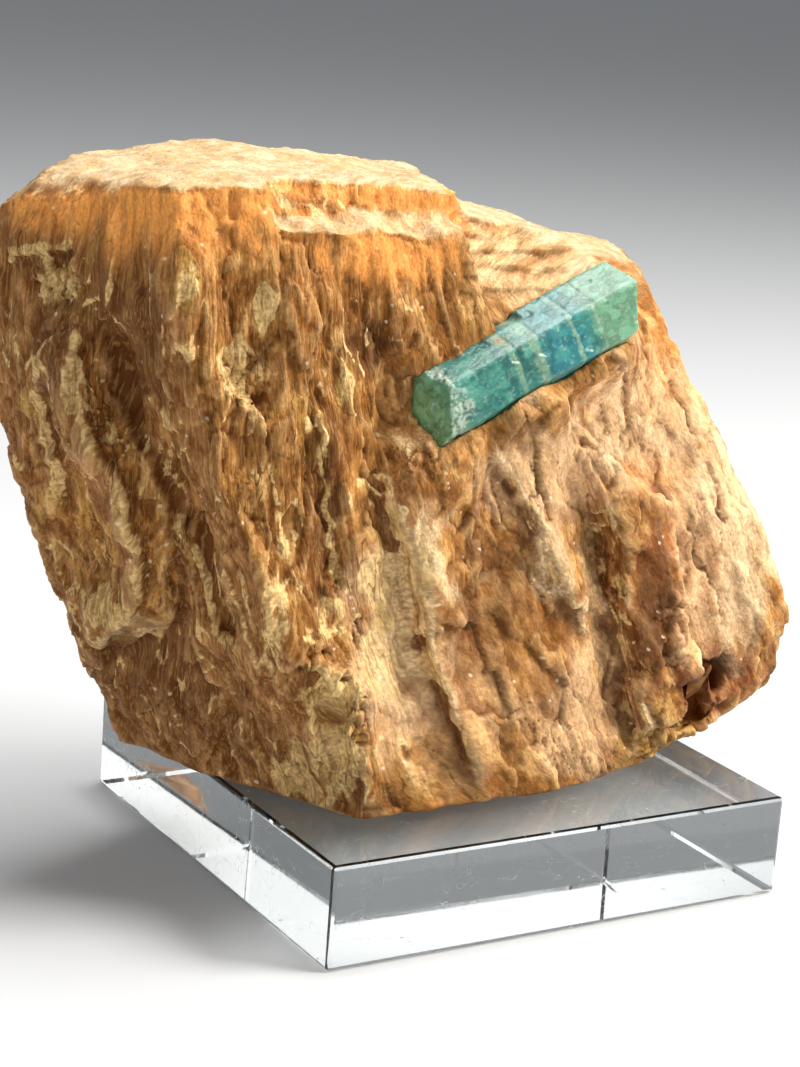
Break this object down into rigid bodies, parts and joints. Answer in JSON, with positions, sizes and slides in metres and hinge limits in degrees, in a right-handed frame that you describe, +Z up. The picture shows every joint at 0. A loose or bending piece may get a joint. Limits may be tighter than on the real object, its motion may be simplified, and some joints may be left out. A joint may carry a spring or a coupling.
{
  "type": "mineral specimen on a display stand",
  "caption": "Blue-green hexagonal beryl prism half sunk in the front of a striated orange feldspar block, resting on a clear square acrylic stand.",
  "frame": {"origin": "middle of the stand's flat underside", "axes": "+Z up; the stand's sides run along X and Y; the block's long side runs along X and the beryl is on its -Y face"},
  "size_m": [0.0804, 0.05, 0.0686],
  "materials": {
    "acrylic": "clear polished acrylic with fine scratches",
    "beryl": "translucent blue-green crystal with pale cracks and a frosted left end",
    "feldspar": "rough cleaved feldspar with fine upright striations, waxy sheen"
  },
  "bodies": {
    "root": {"acrylic_base": "acrylic", "beryl_crystal": "beryl", "feldspar_matrix": "feldspar"}
  },
  "joints": []
}
